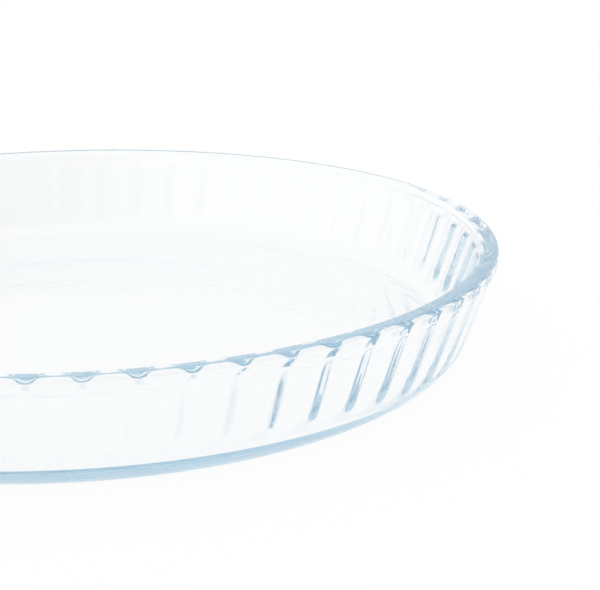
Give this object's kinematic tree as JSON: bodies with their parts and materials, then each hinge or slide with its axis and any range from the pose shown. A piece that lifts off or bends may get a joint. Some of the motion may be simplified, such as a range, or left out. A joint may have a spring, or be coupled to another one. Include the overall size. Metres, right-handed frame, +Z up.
{
  "type": "fluted glass flan dish",
  "caption": "Round clear pressed-glass baking dish with a flat floor, a smooth heel, a fluted flaring wall and a rounded rim; holds a flan, tart or pizza in the oven and on the table.",
  "frame": {"origin": "on the table under the middle of the dish", "axes": "+Z up through the middle of the dish; -Y towards the picture's camera; a ridge of the fluted wall lies on +X"},
  "size_m": [0.28, 0.28, 0.036],
  "materials": {
    "glass": "clear pressed borosilicate glass, fire-polished, pale blue where it is seen edge on"
  },
  "bodies": {
    "root": {"dish": "glass"}
  },
  "joints": []
}
